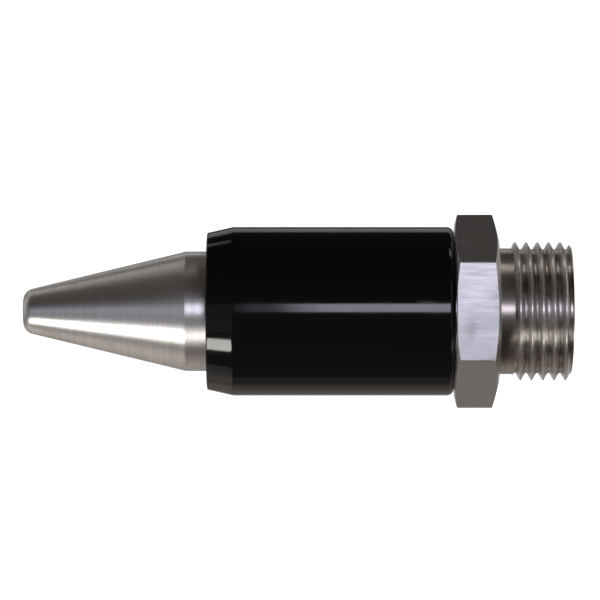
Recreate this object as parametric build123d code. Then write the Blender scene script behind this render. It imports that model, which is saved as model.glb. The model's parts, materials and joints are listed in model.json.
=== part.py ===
from build123d import *
from build123d.topology import SkipClean
import math
import os

# Quarter-turn oil dispensing nozzle, millimetres.
# The X axis is the flow axis: the inlet thread points to +X and the outlet to -X.
# The origin is on the axis at the hexagon's thread-side face; +Z is up through a corner.
# The parts are built in the shut position, with the outlet tip drawn back.

# Inlet thread, 7/8-14 UNF, and the plain neck behind it
PITCH = 25.4 / 14
THREAD_R = 22.225 / 2
THREAD_DEPTH = 0.6134 * PITCH
THREAD_CREST = PITCH / 8
THREAD_START = 2.3
THREAD_END = 11.7
THREAD_CHAMFER = 0.7
THREAD_PHASE = -0.6
THREAD_SECTORS = 8
THREAD_OVERLAP = 15.0
NECK_R = 10.15
INLET_R = 6.5
INLET_CHAMFER = 0.6

# Hexagon flange
HEX_AF = 27.0
HEX_LENGTH = 7.0
HEX_BEVEL = 15.0
HEX_FACE_R = 12.0
HEX_REAR_FACE_R = 14.0
HEX_EDGE_ROUND = 0.2

# Spigot of the inlet adapter, which the sleeve turns on
SPIGOT_R = 12.1
SPIGOT_END = -22.0
SPIGOT_CHAMFER = 0.3
SOCKET_R = 10.9
POCKET_R = 10.5
POCKET_FLOOR = -12.5
NUT_RELIEF_R = 7.0
NUT_RELIEF_END = -9.0
SNAP_X = -10.9
SNAP_WIRE = 1.2
SNAP_GROOVE_R = 11.5
SNAP_GAP = 24.0
SNAP_PLAY = 0.05
FRICTION_X = -8.7
FRICTION_WIRE = 1.0
FRICTION_PROUD = 0.1
RUBBER_SHRINK = 0.02

# Side play of the rubber rings in their grooves, and how far a cutter runs past a surface
RING_PLAY = 0.1
PAST = 1.0

# Stem spider and the parts that hold the stem in it
SPIDER_R = 10.4
SPIDER_THICK = 2.5
HUB_R = 2.8
HUB_LENGTH = 2.0
FLOW_HOLES = 6
FLOW_HOLE_R = 1.5
FLOW_PITCH_R = 4.8
WASHER_R = 2.7
WASHER_THICK = 0.5
NUT_AF = 5.0
NUT_THICK = 2.0
NUT_BEVEL_LENGTH = 0.2
NUT_BEVEL_DEPTH = 0.35

# Guide barrel
BARREL_R = 10.9
BARREL_BORE_R = 9.7
BARREL_FRONT = -43.0
GASKET_THICK = 0.8

# Valve stem and its nose
STEM_R = 1.2
STEM_CHAMFER = 0.3
STEM_PAST_NUT = 0.8
COLLAR_R = 2.2
COLLAR_LENGTH = 1.5
HEAD_R = 2.0
HEAD_LENGTH = 1.2
NOSE_R = 1.3
NOSE_CHAMFER = 0.4
NOSE_GROOVE_R = 1.05
NOSE_END = -74.5
NOSE_SEAL_X = -72.2
NOSE_SEAL_WIRE = 1.0

# Twist sleeve, with the cam bush bonded inside it
SLEEVE_R = 13.6
SLEEVE_FRONT = -46.8
SLEEVE_REAR = -7.2
SLEEVE_BORE_R = 12.2
SLEEVE_BEVEL_LENGTH = 4.2
SLEEVE_BEVEL_DEPTH = 0.95
SLEEVE_REAR_ROUND = 1.0
SLEEVE_FRONT_ROUND = 0.25
SLEEVE_BEVEL_ROUND = 2.0
LIP_BORE_R = 9.75
LIP_BACK = -43.6
LIP_EDGE = 0.3
SNAP_RELIEF_R = 12.8
SNAP_RELIEF_PLAY = 0.15
WIPER_X = -45.25
WIPER_WIRE = 1.2
WIPER_SQUEEZE = 0.05
BUSH_BORE_R = 11.0
BUSH_REAR = -22.1

# Cam: a quarter turn of the sleeve carries the tip through its stroke
STROKE = 3.2
CAM_TURN = 90.0
PIN_X = -33.0
PIN_R = 1.25
PIN_INNER = 6.6
PIN_OUTER = 12.1
PIN_CHAMFER = 0.2
SLOT_PLAY = 0.1
SLOT_CUTTER = 2.6

# Piston tube
PISTON_R = 9.6
PISTON_BORE_R = 5.5
PISTON_REAR = -21.0
JOINT_X = -43.4
TIP_SPIGOT_R = 7.6
TIP_SPIGOT_END = -50.0
RING_XS = (-23.2, -26.4)
RING_WIRE = 1.46
RING_GROOVE_R = 8.2
RING_GROOVE_WIDTH = 2.0
TIP_RING_X = -47.6
TIP_RING_WIRE = 1.3

# Outlet tip
TIP_R = 9.65
CONE_START = -50.2
TIP_END = -76.4
CONE_ANGLE = 13.6
NOSE_ROUND = 1.9
CONE_ROUND = 0.6
ORIFICE_R = 1.5
ORIFICE_BEVEL = 0.2
SEAT_FRONT = -73.0
SEAT_OUTER_R = 2.5
CHAMBER_START = -58.0


def turned(*points, arc=360):
    """A solid of revolution about the X axis from (x, radius) points."""
    return revolve(make_face(Polyline(*points, close=True)), Axis.X, arc)


def tube(x_from, x_to, outer, inner=0):
    """A plain tube or bar along the X axis."""
    return turned((x_from, inner), (x_to, inner), (x_to, outer), (x_from, outer))


def ring(x, mean_radius, wire, arc=360):
    """A round-section ring about the X axis."""
    return revolve(Pos(x, mean_radius) * Circle(wire / 2), Axis.X, arc)


def outer_corner(face, x):
    """The corner of a half profile that lies at x and furthest from the axis."""
    return face.vertices().filter_by_position(Axis.X, x, x).sort_by(Axis.Y)[-1]


def hex_bar(x_from, x_to, across_flats):
    """A hexagonal bar along the X axis with corners at the top and bottom."""
    section = Plane.YZ * RegularPolygon(across_flats / 2, 6, major_radius=False, rotation=30)
    return Pos(X=x_from) * extrude(section, x_to - x_from, dir=(1, 0, 0))


def swept_on_helix(section, helix):
    """Sweeps a section, drawn in (radial, axial) coordinates, along a helix."""
    start = helix @ 0
    outward = Vector(0, start.Y, start.Z).normalized()
    plane = Plane(origin=start, x_dir=outward, z_dir=helix % 0)
    return sweep(plane * section, path=helix, is_frenet=True)


def thread_groove():
    """A length of the thread's groove for one sector, a little proud of the crest."""
    overshoot = 0.2
    root = PITCH / 12
    flank = (PITCH / 2 - THREAD_CREST / 2 - root) / THREAD_DEPTH
    top = THREAD_DEPTH + overshoot
    half_top = root + flank * top
    section = make_face(
        Polyline((0, -root), (top, -half_top), (top, half_top), (0, root), close=True)
    )
    turns = 1 / THREAD_SECTORS + 2 * THREAD_OVERLAP / 360
    helix = Helix(PITCH, PITCH * turns, THREAD_R - THREAD_DEPTH, direction=(1, 0, 0))
    return Rot(X=-THREAD_OVERLAP) * swept_on_helix(section, helix)


def inlet_thread():
    """The threaded end, cut sector by sector, so that each crest is a short true arc."""
    blank = Rot(X=90) * turned(
        (THREAD_START, INLET_R),
        (THREAD_END - INLET_CHAMFER, INLET_R),
        (THREAD_END, INLET_R + INLET_CHAMFER),
        (THREAD_END, THREAD_R - THREAD_CHAMFER),
        (THREAD_END - THREAD_CHAMFER, THREAD_R),
        (THREAD_START, THREAD_R),
        arc=360 / THREAD_SECTORS,
    )
    groove = thread_groove()
    turns = math.ceil((THREAD_END - THREAD_START) / PITCH)
    sectors = []
    for sector in range(THREAD_SECTORS):
        angle = 360 * sector / THREAD_SECTORS
        piece = Rot(X=angle) * blank
        for turn in range(-1, turns + 1):
            x = THREAD_START + THREAD_PHASE + (turn + sector / THREAD_SECTORS) * PITCH
            piece -= Pos(X=x) * Rot(X=angle) * groove
        sectors.append(piece)
    return sectors


def bevelled_hexagon():
    """The hexagon, bevelled on both faces as a turned nut is."""
    reach = HEX_AF
    slope = math.tan(math.radians(HEX_BEVEL))
    limit = turned(
        (-HEX_LENGTH, 0),
        (0, 0),
        (0, HEX_FACE_R),
        (-slope * (reach - HEX_FACE_R), reach),
        (-HEX_LENGTH + slope * (reach - HEX_REAR_FACE_R), reach),
        (-HEX_LENGTH, HEX_REAR_FACE_R),
    )
    bar = hex_bar(-HEX_LENGTH, 0, HEX_AF)
    bar = fillet(bar.edges().filter_by(Axis.X), HEX_EDGE_ROUND)
    return (bar & limit) - tube(-HEX_LENGTH, 0, INLET_R)


def friction_groove_r():
    """The groove's floor, which leaves the ring a little proud of the spigot."""
    return SPIGOT_R - FRICTION_WIRE + FRICTION_PROUD


def inlet_adapter():
    """Hexagon, neck, thread and spigot in one turned piece."""
    spigot = turned(
        (SPIGOT_END, SOCKET_R),
        (SPIGOT_END, SPIGOT_R - SPIGOT_CHAMFER),
        (SPIGOT_END + SPIGOT_CHAMFER, SPIGOT_R),
        (-HEX_LENGTH, SPIGOT_R),
        (-HEX_LENGTH, INLET_R),
        (NUT_RELIEF_END, INLET_R),
        (NUT_RELIEF_END, NUT_RELIEF_R),
        (POCKET_FLOOR, NUT_RELIEF_R),
        (POCKET_FLOOR, POCKET_R),
        (POCKET_FLOOR - SPIDER_THICK, POCKET_R),
        (POCKET_FLOOR - SPIDER_THICK, SOCKET_R),
    )
    snap = SNAP_WIRE / 2 + SNAP_PLAY
    spigot -= tube(SNAP_X - snap, SNAP_X + snap, SPIGOT_R + PAST, SNAP_GROOVE_R)
    friction = FRICTION_WIRE / 2 + RING_PLAY
    spigot -= tube(
        FRICTION_X - friction, FRICTION_X + friction, SPIGOT_R + PAST, friction_groove_r()
    )
    body = spigot + bevelled_hexagon() + tube(0, THREAD_START, NECK_R, INLET_R)
    with SkipClean():
        for sector in inlet_thread():
            body += sector
    return body


def snap_ring():
    """An open wire ring that keeps the sleeve on the spigot."""
    mean = SNAP_GROOVE_R + SNAP_WIRE / 2
    return Rot(X=-90 + SNAP_GAP / 2) * ring(SNAP_X, mean, SNAP_WIRE, 360 - SNAP_GAP)


def friction_ring():
    """The rubber ring that drags on the sleeve so that it stays where it is set."""
    mean = friction_groove_r() + FRICTION_WIRE / 2
    return ring(FRICTION_X, mean, FRICTION_WIRE - RUBBER_SHRINK)


def stem_spider():
    """A drilled disc that carries the stem on the axis and lets the oil past."""
    front = POCKET_FLOOR - SPIDER_THICK
    disc = tube(front, POCKET_FLOOR, SPIDER_R)
    disc += tube(front - HUB_LENGTH, front, HUB_R)
    disc -= tube(front - HUB_LENGTH, POCKET_FLOOR, STEM_R)
    for index in range(FLOW_HOLES):
        hole = Pos(Y=FLOW_PITCH_R) * tube(front, POCKET_FLOOR, FLOW_HOLE_R)
        disc -= Rot(X=360 * index / FLOW_HOLES) * hole
    return disc


def lock_washer():
    return tube(POCKET_FLOOR, POCKET_FLOOR + WASHER_THICK, WASHER_R, STEM_R)


def stem_nut():
    """The bevelled nut behind the spider."""
    x_from = POCKET_FLOOR + WASHER_THICK
    x_to = x_from + NUT_THICK
    corner = NUT_AF / math.sqrt(3)
    bevel = turned(
        (x_from, 0),
        (x_to, 0),
        (x_to, corner - NUT_BEVEL_DEPTH),
        (x_to - NUT_BEVEL_LENGTH, corner),
        (x_from, corner),
    )
    return (hex_bar(x_from, x_to, NUT_AF) & bevel) - tube(x_from, x_to, STEM_R)


def barrel_gasket():
    """The flat ring between the barrel's end, the spider and the socket's shoulder."""
    rear = POCKET_FLOOR - SPIDER_THICK
    return tube(rear - GASKET_THICK, rear, SOCKET_R, BARREL_BORE_R)


def guide_slot():
    """The straight slot, through both walls, that stops the cam pins from turning."""
    width = 2 * (PIN_R + SLOT_PLAY)
    length = STROKE + width
    outline = Plane.XY * SlotOverall(length, width)
    return Pos(X=PIN_X - STROKE / 2) * extrude(outline, SLEEVE_R, both=True)


def guide_barrel():
    """The tube that the piston slides in."""
    rear = POCKET_FLOOR - SPIDER_THICK - GASKET_THICK
    return tube(BARREL_FRONT, rear, BARREL_R, BARREL_BORE_R) - guide_slot()


def valve_stem():
    """The fixed rod whose nose shuts the outlet."""
    groove_front = NOSE_SEAL_X - NOSE_SEAL_WIRE / 2 - RING_PLAY
    groove_rear = NOSE_SEAL_X + NOSE_SEAL_WIRE / 2
    head_rear = groove_rear + HEAD_LENGTH
    collar_rear = POCKET_FLOOR - SPIDER_THICK - HUB_LENGTH
    stem_rear = POCKET_FLOOR + WASHER_THICK + NUT_THICK + STEM_PAST_NUT
    return turned(
        (NOSE_END, 0),
        (NOSE_END, NOSE_R - NOSE_CHAMFER),
        (NOSE_END + NOSE_CHAMFER, NOSE_R),
        (groove_front, NOSE_R),
        (groove_front, NOSE_GROOVE_R),
        (groove_rear, NOSE_GROOVE_R),
        (groove_rear, HEAD_R),
        (head_rear, HEAD_R),
        (head_rear + HEAD_R - STEM_R, STEM_R),
        (collar_rear - COLLAR_LENGTH, STEM_R),
        (collar_rear - COLLAR_LENGTH, COLLAR_R),
        (collar_rear, COLLAR_R),
        (collar_rear, STEM_R),
        (stem_rear - STEM_CHAMFER, STEM_R),
        (stem_rear, STEM_R - STEM_CHAMFER),
        (stem_rear, 0),
    )


def nose_seal():
    return ring(NOSE_SEAL_X, NOSE_GROOVE_R + NOSE_SEAL_WIRE / 2, NOSE_SEAL_WIRE)


def twist_sleeve():
    """The grip that opens and shuts the nozzle."""
    profile = Polyline(
        (SLEEVE_FRONT, LIP_BORE_R + LIP_EDGE),
        (SLEEVE_FRONT, SLEEVE_R - SLEEVE_BEVEL_DEPTH),
        (SLEEVE_FRONT + SLEEVE_BEVEL_LENGTH, SLEEVE_R),
        (SLEEVE_REAR, SLEEVE_R),
        (SLEEVE_REAR, SLEEVE_BORE_R),
        (LIP_BACK, SLEEVE_BORE_R),
        (LIP_BACK, LIP_BORE_R),
        (SLEEVE_FRONT + LIP_EDGE, LIP_BORE_R),
        close=True,
    )
    face = make_face(profile)
    face = fillet(outer_corner(face, SLEEVE_REAR), SLEEVE_REAR_ROUND)
    face = fillet(outer_corner(face, SLEEVE_FRONT), SLEEVE_FRONT_ROUND)
    face = fillet(outer_corner(face, SLEEVE_FRONT + SLEEVE_BEVEL_LENGTH), SLEEVE_BEVEL_ROUND)
    sleeve = revolve(face, Axis.X)
    wiper = WIPER_WIRE / 2 + WIPER_SQUEEZE
    wiper_r = LIP_BORE_R + WIPER_WIRE - WIPER_SQUEEZE
    sleeve -= tube(WIPER_X - wiper, WIPER_X + wiper, wiper_r)
    snap = SNAP_WIRE / 2 + SNAP_RELIEF_PLAY
    sleeve -= tube(SNAP_X - snap, SNAP_X + snap, SNAP_RELIEF_R)
    return sleeve


def wiper_ring():
    """The rubber ring in the sleeve's lip that keeps dirt off the piston."""
    return ring(WIPER_X, LIP_BORE_R - WIPER_SQUEEZE + WIPER_WIRE / 2, WIPER_WIRE)


def cam_slot():
    """One helical slot, from the shut position of the pin to the open one."""
    width = 2 * (PIN_R + SLOT_PLAY)
    mean_r = (BUSH_BORE_R + SLEEVE_BORE_R) / 2
    section = Rectangle(SLOT_CUTTER, width)
    helix = Helix(
        STROKE * 360 / CAM_TURN, STROKE, mean_r, direction=(1, 0, 0), lefthand=True
    )
    run = swept_on_helix(section, helix)
    end = Pos(Z=mean_r) * Cylinder(width / 2, SLOT_CUTTER)
    shut_end = Pos(X=STROKE) * Rot(X=-CAM_TURN) * end
    return Pos(X=PIN_X - STROKE) * Rot(X=CAM_TURN) * (run + end + shut_end)


def cam_bush():
    """The sleeve's lining, whose two helical slots drive the cam pins."""
    bush = tube(LIP_BACK, BUSH_REAR, SLEEVE_BORE_R, BUSH_BORE_R)
    for turn in (0, 180):
        bush -= Rot(X=turn) * cam_slot()
    return bush


def cam_pin(side):
    """One of the pins pressed into the piston tube; side is 1 above, -1 below."""
    middle = (PIN_INNER + PIN_OUTER) / 2
    pin = Cylinder(PIN_R, PIN_OUTER - PIN_INNER)
    pin = chamfer(pin.edges().group_by(Axis.Z)[-1], PIN_CHAMFER)
    return Rot(X=0 if side > 0 else 180) * (Pos(PIN_X, 0, middle) * pin)


def piston_tube():
    """The sliding tube that carries the outlet tip."""
    tube_body = tube(JOINT_X, PISTON_REAR, PISTON_R, PISTON_BORE_R)
    tube_body += tube(TIP_SPIGOT_END, JOINT_X, TIP_SPIGOT_R, PISTON_BORE_R)
    half = RING_GROOVE_WIDTH / 2
    for x in RING_XS:
        tube_body -= tube(x - half, x + half, PISTON_R + PAST, RING_GROOVE_R)
    half = TIP_RING_WIRE / 2 + RING_PLAY
    floor = TIP_SPIGOT_R - TIP_RING_WIRE
    tube_body -= tube(TIP_RING_X - half, TIP_RING_X + half, TIP_SPIGOT_R + PAST, floor)
    for side in (0, 180):
        depth = PISTON_R + PAST - PIN_INNER
        hole = Pos(PIN_X, 0, PIN_INNER + depth / 2) * Cylinder(PIN_R, depth)
        tube_body -= Rot(X=side) * hole
    return tube_body


def piston_ring(x):
    return ring(x, RING_GROOVE_R + RING_WIRE / 2, RING_WIRE)


def tip_seal_ring():
    """The rubber ring between the piston tube's spigot and the tip's socket."""
    floor = TIP_SPIGOT_R - TIP_RING_WIRE
    return ring(TIP_RING_X, floor + TIP_RING_WIRE / 2, TIP_RING_WIRE)


def outlet_tip():
    """The tapered nozzle end, with the valve seat inside its nose."""
    nose_r = TIP_R - (CONE_START - TIP_END) * math.tan(math.radians(CONE_ANGLE))
    profile = Polyline(
        (TIP_END, 0),
        (JOINT_X, 0),
        (JOINT_X, TIP_R),
        (CONE_START, TIP_R),
        (TIP_END, nose_r),
        close=True,
    )
    outline = make_face(profile)
    outline = fillet(outer_corner(outline, TIP_END), NOSE_ROUND)
    outline = fillet(outer_corner(outline, CONE_START), CONE_ROUND)
    passage = turned(
        (TIP_END - PAST, 0),
        (TIP_END - PAST, ORIFICE_R + ORIFICE_BEVEL + PAST),
        (TIP_END + ORIFICE_BEVEL, ORIFICE_R),
        (SEAT_FRONT, ORIFICE_R),
        (SEAT_FRONT + SEAT_OUTER_R - ORIFICE_R, SEAT_OUTER_R),
        (CHAMBER_START, PISTON_BORE_R),
        (TIP_SPIGOT_END, PISTON_BORE_R),
        (TIP_SPIGOT_END, TIP_SPIGOT_R),
        (JOINT_X + PAST, TIP_SPIGOT_R),
        (JOINT_X + PAST, 0),
    )
    return revolve(outline, Axis.X) - passage


PIECES = {
    "inlet_adapter": inlet_adapter(),
    "sleeve_snap_ring": snap_ring(),
    "sleeve_friction_ring": friction_ring(),
    "stem_spider": stem_spider(),
    "stem_lock_washer": lock_washer(),
    "stem_nut": stem_nut(),
    "valve_stem": valve_stem(),
    "stem_nose_seal": nose_seal(),
    "barrel_gasket": barrel_gasket(),
    "guide_barrel": guide_barrel(),
    "twist_sleeve": twist_sleeve(),
    "sleeve_wiper_ring": wiper_ring(),
    "cam_bush": cam_bush(),
    "cam_pin_upper": cam_pin(1),
    "cam_pin_lower": cam_pin(-1),
    "piston_tube": piston_tube(),
    "piston_ring_rear": piston_ring(RING_XS[0]),
    "piston_ring_front": piston_ring(RING_XS[1]),
    "tip_seal_ring": tip_seal_ring(),
    "outlet_tip": outlet_tip(),
}

os.makedirs("parts", exist_ok=True)
for name, piece in PIECES.items():
    export_step(piece, f"parts/{name}.step")
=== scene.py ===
"""Looks of the quarter-turn oil dispensing nozzle: its materials, the studio and the camera.

The frame is in metres. +X runs from the outlet tip to the inlet thread, which is the axis that all the
turned pieces share, +Z is up, and the camera stands on the -Y side.
"""

import json
import math

import bmesh
import bpy
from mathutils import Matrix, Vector


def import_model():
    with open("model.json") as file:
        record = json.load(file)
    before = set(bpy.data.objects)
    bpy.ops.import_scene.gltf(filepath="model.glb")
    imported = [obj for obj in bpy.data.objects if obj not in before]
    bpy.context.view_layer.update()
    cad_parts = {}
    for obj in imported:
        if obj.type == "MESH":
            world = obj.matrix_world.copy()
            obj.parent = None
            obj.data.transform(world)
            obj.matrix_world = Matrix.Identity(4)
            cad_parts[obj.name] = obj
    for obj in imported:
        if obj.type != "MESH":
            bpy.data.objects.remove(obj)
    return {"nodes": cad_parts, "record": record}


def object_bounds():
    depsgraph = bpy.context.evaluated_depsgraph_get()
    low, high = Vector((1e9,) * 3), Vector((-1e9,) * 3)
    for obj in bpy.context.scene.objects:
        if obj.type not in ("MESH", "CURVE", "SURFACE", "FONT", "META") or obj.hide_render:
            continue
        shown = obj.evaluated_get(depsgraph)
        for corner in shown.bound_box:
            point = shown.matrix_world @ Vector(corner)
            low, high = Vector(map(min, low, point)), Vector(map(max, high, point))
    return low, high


MM = 0.001

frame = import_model()
cad_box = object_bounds()
nodes = frame["nodes"]

centre = (cad_box[0] + cad_box[1]) / 2

# Zones of the inlet adapter: each one's middle and half length along X, and the radius it starts at
HEXAGON_MIDDLE = -3.5 * MM
HEXAGON_HALF = 3.48 * MM
FLATS_FROM_R = 12.6 * MM
NECK_MIDDLE = 1.15 * MM
NECK_HALF = 1.14 * MM
THREAD_MIDDLE = 6.95 * MM
THREAD_HALF = 4.65 * MM
THREAD_FROM_R = 9.8 * MM

# Oil and painted shade in the thread's roots: the darkening starts at the first radius and is full at the
# second, near the roots
ROOT_OIL_SHADE_FROM_R = 10.95 * MM
ROOT_OIL_SHADE_FULL_R = 10.1 * MM
# Colour of the oil and painted shade, in the thread's roots and on the neck
OIL_SHADE_COLOUR = (0.34, 0.29, 0.245, 1)
# Share of that colour put on the neck beside the hexagon, as painted shade of the hexagon's shadow
NECK_SHADE_SHARE = 0.6

PLATING_COLOUR = (0.37, 0.37, 0.385, 1)
PLATING_SHARE = 0.8

# How much brighter worn edges of metal are
EDGE_GAIN = 1.12

# Rings of a turned profile: how much the radius adds to the way along X, and the drift round the axis
RING_SLANT = 0.73
RING_DRIFT = 25.0

# The brush direction of turned metal, as a share of a full turn from the tangent
BRUSH_TURN = 0.25

ROOM_COLOUR = (0.040, 0.034, 0.029, 1)


class Shader:
    """A material's node tree around one Principled surface, with short calls to build it."""

    def __init__(self, name, metallic=0.0):
        self.material = bpy.data.materials.new(name)
        self.material.use_nodes = True
        self.tree = self.material.node_tree
        self.surface = self.tree.nodes["Principled BSDF"]
        self.surface.inputs["Metallic"].default_value = metallic
        coordinates = self.node("ShaderNodeTexCoord")
        self.place, self.normal = coordinates.outputs["Object"], coordinates.outputs["Normal"]
        split = self.node("ShaderNodeSeparateXYZ", {"Vector": self.place})
        self.x, self.y, self.z = split.outputs
        self.radius = self.math(
            "SQRT",
            self.math("ADD", self.math("MULTIPLY", self.y, self.y), self.math("MULTIPLY", self.z, self.z)),
        )

    def node(self, kind, inputs=None, **settings):
        """Adds a node. Each input is a number, a colour or the output of another node."""
        node = self.tree.nodes.new(kind)
        for key, value in settings.items():
            setattr(node, key, value)
        for key, value in (inputs or {}).items():
            self.feed(node.inputs[key], value)
        return node

    def feed(self, socket, value):
        if isinstance(value, bpy.types.NodeSocket):
            self.tree.links.new(value, socket)
        else:
            socket.default_value = value

    def set(self, **values):
        """Sets the surface's inputs: base_color=... feeds Base Color, and so on."""
        for key, value in values.items():
            name = key.replace("_", " ").title().replace("Ior", "IOR")
            self.feed(self.surface.inputs[name], value)

    def math(self, operation, a, b=0.0, c=0.0, clamp=False):
        node = self.node("ShaderNodeMath", operation=operation, use_clamp=clamp)
        for socket, value in zip(node.inputs, (a, b, c)):
            self.feed(socket, value)
        return node.outputs[0]

    def vector(self, x, y, z):
        return self.node("ShaderNodeCombineXYZ", {"X": x, "Y": y, "Z": z}).outputs[0]

    def noise(self, scale, detail=2.0, roughness=0.5, distortion=0.0, at=None):
        """Noise from 0 to 1 whose features are about 1/scale metres long."""
        inputs = {"Scale": scale, "Detail": detail, "Roughness": roughness, "Distortion": distortion}
        inputs["Vector"] = self.place if at is None else at
        return self.node("ShaderNodeTexNoise", inputs).outputs["Fac"]

    def remap(self, value, start, end, low=0.0, high=1.0):
        """Takes start..end smoothly to low..high, and holds the ends."""
        inputs = {"Value": value, "From Min": start, "From Max": end, "To Min": low, "To Max": high}
        node = self.node("ShaderNodeMapRange", inputs, interpolation_type="SMOOTHSTEP")
        return node.outputs["Result"]

    def mix(self, factor, a, b):
        """Mixes two colours."""
        node = self.node("ShaderNodeMix", data_type="RGBA")
        for index, value in ((0, factor), (6, a), (7, b)):
            self.feed(node.inputs[index], value)
        return node.outputs[2]

    def blend(self, factor, a, b):
        """Mixes two numbers."""
        node = self.node("ShaderNodeMix", data_type="FLOAT")
        for index, value in ((0, factor), (2, a), (3, b)):
            self.feed(node.inputs[index], value)
        return node.outputs[0]

    def bump(self, height, depth, normal=None):
        """Relief of the given depth, in metres, from a height of 0 to 1."""
        inputs = {"Height": height, "Distance": depth, "Strength": 1.0}
        if normal is not None:
            inputs["Normal"] = normal
        return self.node("ShaderNodeBump", inputs).outputs["Normal"]

    def edges(self, radius):
        """Rounded normals along edges, and a mask that is 1 on the edges."""
        soft = self.node("ShaderNodeBevel", {"Radius": radius}, samples=6).outputs["Normal"]
        true = self.node("ShaderNodeNewGeometry").outputs["Normal"]
        dot = self.node("ShaderNodeVectorMath", operation="DOT_PRODUCT")
        self.feed(dot.inputs[0], soft)
        self.feed(dot.inputs[1], true)
        return soft, self.remap(dot.outputs["Value"], 0.995, 0.90)

    def profile(self, pitch):
        """Coordinates that run along a turned profile, at one unit a pitch, and hardly change round it."""
        along = self.math("MULTIPLY_ADD", self.radius, RING_SLANT, self.x)
        return self.vector(
            self.math("MULTIPLY", along, 1.0 / pitch),
            self.math("MULTIPLY", self.y, RING_DRIFT),
            self.math("MULTIPLY", self.z, RING_DRIFT),
        )

    def tool_marks(self, pitch, detail=3.0):
        """Circular marks of a lathe tool, from 0 to 1."""
        return self.noise(1.0, detail, 0.6, at=self.profile(pitch))

    def stretched(self, length, width):
        """Coordinates for marks drawn out along the axis."""
        return self.vector(
            self.math("MULTIPLY", self.x, 1.0 / length),
            self.math("MULTIPLY", self.y, 1.0 / width),
            self.math("MULTIPLY", self.z, 1.0 / width),
        )

    def scratches(self, length, width, share, turn):
        """Straight hairline scratches, 1 in the scratch. turn is the direction of the set, in degrees."""
        mapping = self.node("ShaderNodeMapping", {"Vector": self.place})
        mapping.inputs["Rotation"].default_value = [math.radians(turn * k) for k in (1.0, 0.7, 1.3)]
        mapping.inputs["Scale"].default_value = (1.0 / length, 1.0 / width, 1.0 / length)
        found = self.noise(1.0, 0.0, at=mapping.outputs[0])
        return self.remap(found, 1.0 - share, 1.0 - share + 0.04)


def no_flats(shader):
    """0 everywhere, for a piece that is turned all over."""
    return 0.0


def hexagon_flats(shader):
    """1 on the hexagon's six flats, 0 on its turned bevels and on the rest of the adapter."""
    normal = shader.node("ShaderNodeSeparateXYZ", {"Vector": shader.normal}).outputs[0]
    level = shader.math("COMPARE", normal, 0.0, 0.06)
    within = shader.math("COMPARE", shader.x, HEXAGON_MIDDLE, HEXAGON_HALF)
    outside = shader.math("GREATER_THAN", shader.radius, FLATS_FROM_R)
    return shader.math("MULTIPLY", level, shader.math("MULTIPLY", within, outside))


def turned_metal(name, colour, dull, roughness, pitch, depth, anisotropy=0.8, rings=0.5, unturned=no_flats):
    """A metal turned on a lathe: rings of tone and relief, stains, hairlines and bright edges.

    Where unturned is 1, straight drawn lines and a mottled plating take the place of the rings.
    """
    shader = Shader(name, metallic=1.0)
    flat = unturned(shader)
    drawn = shader.noise(1.0, 2.0, 0.6, at=shader.stretched(5 * MM, 0.16 * MM))
    mottle = shader.noise(900.0, 3.0, 0.65)
    fine = shader.blend(flat, shader.tool_marks(pitch), drawn)
    bands = shader.blend(flat, shader.tool_marks(pitch * 7, 2.0), mottle)
    stain = shader.noise(260.0, 3.0, 0.6)
    soft, edge = shader.edges(0.12 * MM)

    tone = shader.remap(bands, 0.35, 0.65, 0.0, rings)
    tone = shader.math("ADD", tone, shader.remap(fine, 0.35, 0.7, 0.0, 0.6 * rings))
    tone = shader.math("ADD", tone, shader.remap(stain, 0.5, 0.75, 0.0, 0.35), clamp=True)
    shader.body = shader.mix(tone, colour, dull)
    bright = tuple(min(1.0, c * EDGE_GAIN) for c in colour[:3]) + (1.0,)
    shader.set(base_color=shader.mix(edge, shader.body, bright))

    rough = shader.remap(fine, 0.3, 0.7, roughness * 0.9, roughness * 1.12)
    rough = shader.math("ADD", rough, shader.remap(stain, 0.45, 0.8, 0.0, 0.06))
    shader.set(roughness=rough, anisotropic=anisotropy, anisotropic_rotation=BRUSH_TURN)
    tangent = shader.node("ShaderNodeTangent", direction_type="RADIAL", axis="X")
    shader.set(tangent=tangent.outputs["Tangent"])

    relief = shader.math("MULTIPLY_ADD", bands, 1.6, fine)
    marks = shader.bump(relief, depth, soft)
    scratch = shader.math(
        "MAXIMUM",
        shader.scratches(9 * MM, 0.09 * MM, 0.27, 33),
        shader.scratches(6 * MM, 0.07 * MM, 0.26, 118),
    )
    shader.set(normal=shader.bump(scratch, -depth * 0.8, marks))
    return shader


def steel_of_tip():
    """Bright turned steel of the outlet tip."""
    return turned_metal(
        "turned_tip_steel", (0.76, 0.75, 0.74, 1), (0.58, 0.57, 0.56, 1), 0.37, 0.14 * MM, 1.0e-6,
        anisotropy=0.6, rings=0.32,
    )


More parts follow.
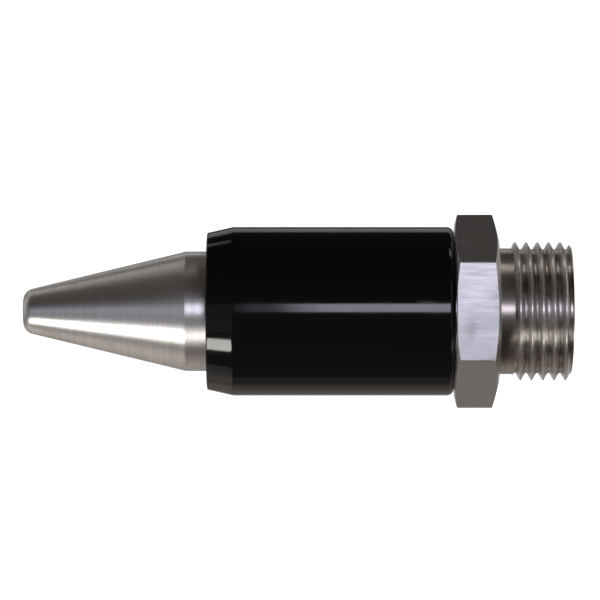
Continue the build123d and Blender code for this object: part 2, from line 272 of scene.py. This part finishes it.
def steel_of_adapter():
    """Plated steel of the adapter: drawn flats with a mottled plating, dark oil and painted shade in the
    thread's roots, painted shade on the neck.
    """
    shader = turned_metal(
        "plated_adapter_steel", (0.70, 0.69, 0.68, 1), (0.54, 0.52, 0.50, 1), 0.36, 0.12 * MM, 1.0e-6,
        unturned=hexagon_flats,
    )
    threaded = shader.math("COMPARE", shader.x, THREAD_MIDDLE, THREAD_HALF)
    outside = shader.math("GREATER_THAN", shader.radius, THREAD_FROM_R)
    threaded = shader.math("MULTIPLY", threaded, outside)
    # Darker towards the roots of the thread: oil, and painted shade of the roots
    deep = shader.remap(shader.radius, ROOT_OIL_SHADE_FROM_R, ROOT_OIL_SHADE_FULL_R)
    patchy = shader.remap(shader.noise(420.0, 2.0), 0.40, 0.66, 0.25, 1.0)
    oil = shader.math("MULTIPLY", shader.math("MULTIPLY", threaded, deep), patchy)
    plating = shader.math("MULTIPLY", hexagon_flats(shader), PLATING_SHARE)
    body = shader.mix(plating, shader.body, PLATING_COLOUR)
    # Painted shade on the neck beside the hexagon, where the hexagon's shadow falls
    neck = shader.math("COMPARE", shader.x, NECK_MIDDLE, NECK_HALF)
    neck_shade = shader.math("MULTIPLY", neck, NECK_SHADE_SHARE)
    # From here oil also holds the neck's painted shade
    oil = shader.math("MAXIMUM", oil, neck_shade)
    shader.set(base_color=shader.mix(oil, body, OIL_SHADE_COLOUR))
    return shader


def steel_inside():
    """Ground steel of the hidden pieces."""
    return turned_metal(
        "ground_inner_steel", (0.60, 0.60, 0.60, 1), (0.45, 0.45, 0.45, 1), 0.26, 0.08 * MM, 0.8e-6
    )


def machined_brass():
    """Turned brass with a little tarnish."""
    return turned_metal(
        "machined_brass", (0.78, 0.60, 0.28, 1), (0.52, 0.37, 0.16, 1), 0.30, 0.12 * MM, 1.0e-6
    )


def gloss_black():
    """Gloss black moulding: faint ripple, dust and hairlines from handling."""
    shader = Shader("gloss_black_sleeve")
    dust = shader.noise(2600.0, 3.0, 0.7)
    haze = shader.noise(120.0, 3.0, 0.6)
    rings = shader.tool_marks(0.35 * MM)
    scratch = shader.math(
        "MAXIMUM",
        shader.scratches(11 * MM, 0.08 * MM, 0.22, 21),
        shader.scratches(7 * MM, 0.06 * MM, 0.22, 97),
    )
    soft, edge = shader.edges(0.15 * MM)
    grey = shader.math("MAXIMUM", shader.remap(dust, 0.66, 0.78, 0.0, 0.25), edge)
    shader.set(base_color=shader.mix(grey, (0.0035, 0.0033, 0.0035, 1), (0.014, 0.014, 0.014, 1)))
    rough = shader.remap(haze, 0.3, 0.75, 0.07, 0.12)
    rough = shader.math("MULTIPLY_ADD", scratch, 0.06, rough)
    shader.set(roughness=rough, ior=1.5, specular_ior_level=0.3)
    ripple = shader.math("MULTIPLY_ADD", rings, 0.5, shader.noise(420.0, 1.0))
    relief = shader.bump(ripple, 1.6e-6, soft)
    shader.set(normal=shader.bump(scratch, -0.4e-6, relief))
    return shader


def nitrile():
    """Black nitrile rubber with a moulded grain and a bloom."""
    shader = Shader("nitrile_rubber")
    grain = shader.noise(4200.0, 3.0, 0.65)
    bloom = shader.noise(500.0, 2.0)
    bloomed = shader.remap(bloom, 0.4, 0.75)
    shader.set(base_color=shader.mix(bloomed, (0.014, 0.014, 0.015, 1), (0.045, 0.045, 0.046, 1)))
    shader.set(roughness=shader.remap(grain, 0.3, 0.7, 0.5, 0.7))
    shader.set(normal=shader.bump(grain, 5.0e-6))
    return shader


def ptfe():
    """Waxy white PTFE sheet, skived from a billet."""
    shader = Shader("ptfe_gasket")
    skive = shader.tool_marks(0.2 * MM)
    cloud = shader.noise(600.0, 2.0)
    clouded = shader.remap(cloud, 0.4, 0.7)
    shader.set(base_color=shader.mix(clouded, (0.86, 0.85, 0.81, 1), (0.74, 0.72, 0.66, 1)))
    shader.set(roughness=shader.remap(skive, 0.3, 0.7, 0.38, 0.52))
    shader.set(subsurface_weight=0.15, subsurface_scale=0.4 * MM)
    shader.set(normal=shader.bump(skive, 3.0e-6))
    return shader


FINISHES = {
    "tip_steel": steel_of_tip,
    "plated_steel": steel_of_adapter,
    "inner_steel": steel_inside,
    "brass": machined_brass,
    "sleeve_black": gloss_black,
    "seal_rubber": nitrile,
    "gasket": ptfe,
}


def dress_nodes():
    """Gives every CAD node the finish of its material slot in the record."""
    made = {slot: finish().material for slot, finish in FINISHES.items()}
    for subpart in frame["record"]["subparts"]:
        node = nodes[subpart["node"]]
        node.data.materials.clear()
        node.data.materials.append(made[subpart["material_slot"]])


def bearing(azimuth, elevation, distance):
    """A point seen from the object's centre: azimuth 0 is the camera's side, 90 is towards the thread."""
    turn, rise = math.radians(azimuth), math.radians(elevation)
    level = math.cos(rise)
    way = Vector((math.sin(turn) * level, -math.cos(turn) * level, math.sin(rise)))
    return centre + way * distance


def flat_light(name, place, away, width, height, radiance, colour):
    """A rectangular lamp with the given radiance, whose back is turned towards away."""
    lamp = bpy.data.lights.new(name, "AREA")
    lamp.shape = "RECTANGLE"
    lamp.size = width
    lamp.size_y = height
    lamp.energy = radiance * math.pi * width * height
    lamp.color = colour
    light = bpy.data.objects.new(name, lamp)
    light.location = place
    light.rotation_euler = away.to_track_quat("Z", "Y").to_euler()
    bpy.context.scene.collection.objects.link(light)


def soft_light(name, azimuth, elevation, distance, width, height, radiance, colour):
    """A flat lamp that faces the object."""
    place = bearing(azimuth, elevation, distance)
    flat_light(name, place, place - centre, width, height, radiance, colour)


def level_light(name, offset, width, depth, radiance, colour):
    """A level lamp above or below the object, whose width runs along the object."""
    place = centre + Vector(offset)
    flat_light(name, place, Vector((0, 0, offset[2])), width, depth, radiance, colour)


def plain_white(name, colour, glow):
    """A pale matt surface that also glows a little, so that it stays pale far from the lamps."""
    shader = Shader(name)
    cloud = shader.noise(2.0, 1.0)
    shader.set(base_color=shader.mix(cloud, colour, tuple(c * 0.98 for c in colour[:3]) + (1.0,)))
    shader.set(roughness=0.9, emission_color=colour, emission_strength=glow)
    return shader.material


FLOOR_Z = -0.72
FLOOR_HALF = 3.6
FLOOR_GLOW = 0.80
DOME_RADIUS = 3.4


def floor():
    """A plain pale floor, well below the object."""
    mesh = bpy.data.meshes.new("floor")
    shape = bmesh.new()
    bmesh.ops.create_grid(shape, x_segments=8, y_segments=8, size=FLOOR_HALF)
    shape.to_mesh(mesh)
    shape.free()
    plane = bpy.data.objects.new("floor", mesh)
    plane.location = (centre.x, 0, FLOOR_Z)
    mesh.materials.append(plain_white("floor_white", (0.86, 0.86, 0.86, 1), FLOOR_GLOW))
    bpy.context.scene.collection.objects.link(plane)
    plane.visible_glossy = False


def dome():
    """A white surround that only the camera sees."""
    mesh = bpy.data.meshes.new("surround")
    shape = bmesh.new()
    bmesh.ops.create_uvsphere(shape, u_segments=48, v_segments=24, radius=DOME_RADIUS)
    bmesh.ops.reverse_faces(shape, faces=shape.faces)
    shape.to_mesh(mesh)
    shape.free()
    shell = bpy.data.objects.new("surround", mesh)
    shell.location = centre
    mesh.materials.append(plain_white("surround_white", (1.0, 1.0, 1.0, 1), 1.0))
    bpy.context.scene.collection.objects.link(shell)
    shell.visible_diffuse = False
    shell.visible_glossy = False
    shell.visible_transmission = False
    shell.visible_shadow = False


def world():
    """The dim room beyond the lamps, seen only in reflections."""
    room = bpy.data.worlds.new("room")
    room.use_nodes = True
    room.node_tree.nodes["Background"].inputs["Color"].default_value = ROOM_COLOUR
    bpy.context.scene.world = room


def lamps():
    """A window and a key lamp make the highlights. The rest light the sides, the back and below.

    The numbers are azimuth, elevation, distance, width, height and radiance, or for the level lamps the
    offset from the centre, width, depth and radiance.
    """
    soft_light("window", 9.4, 4.7, 0.60, 0.200, 0.115, 8.3, (0.93, 0.93, 1.10))
    soft_light("key", -38.1, -43.3, 0.355, 0.110, 0.092, 17.5, (1, 0.975, 0.93))
    soft_light("fill", -35, -9, 0.90, 0.80, 0.60, 0.20, (0.86, 0.93, 1.10))
    soft_light("right", 38, 5, 0.80, 0.12, 0.95, 1.1, (1.0, 0.98, 0.96))
    soft_light("right_end", 104, 24, 0.90, 0.80, 0.90, 0.9, (1.0, 0.99, 0.97))
    soft_light("left_end", -104, 14, 0.90, 0.60, 0.90, 0.6, (1.0, 0.99, 0.97))
    level_light("table", (0, 0.74, -0.69), 2.4, 1.2, 0.16, (1.0, 0.90, 0.83))
    level_light("table_back", (0, 0.86, -0.68), 2.4, 1.0, 0.18, (1.0, 0.90, 0.83))
    level_light("table_left", (-0.52, 0.45, -0.68), 0.80, 1.0, 0.50, (1.0, 0.92, 0.86))
    level_light("overhead", (0.10, -0.012, 0.22), 0.10, 0.05, 2.4, (1.0, 0.96, 0.94))
    soft_light("left_top", -122, 55, 1.0, 0.5, 0.34, 0.72, (1.0, 0.97, 0.91))
    soft_light("back_top", 180, 34, 1.2, 1.8, 0.38, 0.50, (1.0, 0.98, 0.96))
    soft_light("back", 180, -4, 1.4, 2.4, 0.9, 0.60, (1.0, 1.0, 1.0))


CAMERA_DISTANCE = 0.640
CAMERA_RIGHT = 0.5 * MM
CAMERA_HEIGHT = 1.82 * MM
LENS = 238.5


def camera():
    """The camera looks level along +Y, a little above the axis."""
    view = bpy.data.cameras.new("camera")
    view.lens = LENS
    view.sensor_width = 36.0
    view.clip_start = 0.01
    view.clip_end = 10.0
    stand = bpy.data.objects.new("camera", view)
    stand.location = (centre.x + CAMERA_RIGHT, -CAMERA_DISTANCE, CAMERA_HEIGHT)
    stand.rotation_euler = (math.radians(90), 0, 0)
    bpy.context.scene.collection.objects.link(stand)
    bpy.context.scene.camera = stand


dress_nodes()
floor()
dome()
world()
lamps()
camera()
bpy.context.scene.view_settings.view_transform = "Standard"
